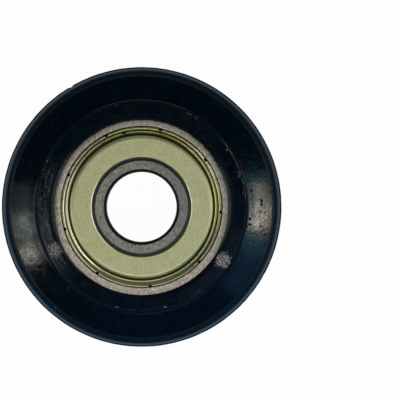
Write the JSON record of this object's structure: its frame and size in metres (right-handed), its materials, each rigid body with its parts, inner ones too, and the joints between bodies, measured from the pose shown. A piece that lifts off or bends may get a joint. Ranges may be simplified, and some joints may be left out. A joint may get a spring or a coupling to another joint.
{
  "type": "v rim guide wheel",
  "caption": "Overmoulded plastic wheel with a convex V rim that runs in a V groove, on a shielded deep-groove ball bearing with a plain bore.",
  "frame": {"origin": "centre of the wheel: on the bore's axis, half way between the two hub faces", "axes": "+Z along the axis, out of the front face; +X and +Y are radial"},
  "size_m": [0.04, 0.04, 0.0098],
  "materials": {
    "tyre_plastic": "glossy blue-black moulded plastic",
    "ring_steel": "ground bearing steel",
    "shield_zinc": "pressed steel with a pale yellow passivated zinc finish",
    "cage_steel": "pressed steel",
    "rivet_steel": "plain steel",
    "ball_steel": "polished bearing steel"
  },
  "bodies": {
    "inner_race": {"inner_ring": "ring_steel"},
    "wheel": {"tyre": "tyre_plastic", "outer_ring": "ring_steel", "front_shield": "shield_zinc", "rear_shield": "shield_zinc"},
    "cage": {"cage_front": "cage_steel", "cage_rear": "cage_steel", "cage_rivets": "rivet_steel"},
    "ball_1": {"ball_1": "ball_steel"},
    "ball_2": {"ball_2": "ball_steel"},
    "ball_3": {"ball_3": "ball_steel"},
    "ball_4": {"ball_4": "ball_steel"},
    "ball_5": {"ball_5": "ball_steel"},
    "ball_6": {"ball_6": "ball_steel"},
    "ball_7": {"ball_7": "ball_steel"}
  },
  "joints": [
    {"name": "wheel_spin", "type": "hinge", "parent": "inner_race", "child": "wheel", "pos_m": [0, 0, 0], "axis": [0, 0, 1], "continuous": true},
    {"name": "cage_spin", "type": "hinge", "parent": "inner_race", "child": "cage", "pos_m": [0, 0, 0], "axis": [0, 0, 1], "continuous": true},
    {"name": "ball_1_spin", "type": "hinge", "parent": "cage", "child": "ball_1", "pos_m": [0.009, 0, 0], "axis": [0, 0, 1], "continuous": true},
    {"name": "ball_2_spin", "type": "hinge", "parent": "cage", "child": "ball_2", "pos_m": [0.00561, 0.00704, 0], "axis": [0, 0, 1], "continuous": true},
    {"name": "ball_3_spin", "type": "hinge", "parent": "cage", "child": "ball_3", "pos_m": [-0.002, 0.00877, 0], "axis": [0, 0, 1], "continuous": true},
    {"name": "ball_4_spin", "type": "hinge", "parent": "cage", "child": "ball_4", "pos_m": [-0.00811, 0.0039, 0], "axis": [0, 0, 1], "continuous": true},
    {"name": "ball_5_spin", "type": "hinge", "parent": "cage", "child": "ball_5", "pos_m": [-0.00811, -0.0039, 0], "axis": [0, 0, 1], "continuous": true},
    {"name": "ball_6_spin", "type": "hinge", "parent": "cage", "child": "ball_6", "pos_m": [-0.002, -0.00877, 0], "axis": [0, 0, 1], "continuous": true},
    {"name": "ball_7_spin", "type": "hinge", "parent": "cage", "child": "ball_7", "pos_m": [0.00561, -0.00704, 0], "axis": [0, 0, 1], "continuous": true}
  ],
  "couplings": [
    {"joint": "cage_spin", "follows": "wheel_spin", "ratio": 0.63229},
    {"joint": "ball_1_spin", "follows": "wheel_spin", "ratio": 1.7575},
    {"joint": "ball_2_spin", "follows": "wheel_spin", "ratio": 1.7575},
    {"joint": "ball_3_spin", "follows": "wheel_spin", "ratio": 1.7575},
    {"joint": "ball_4_spin", "follows": "wheel_spin", "ratio": 1.7575},
    {"joint": "ball_5_spin", "follows": "wheel_spin", "ratio": 1.7575},
    {"joint": "ball_6_spin", "follows": "wheel_spin", "ratio": 1.7575},
    {"joint": "ball_7_spin", "follows": "wheel_spin", "ratio": 1.7575}
  ]
}
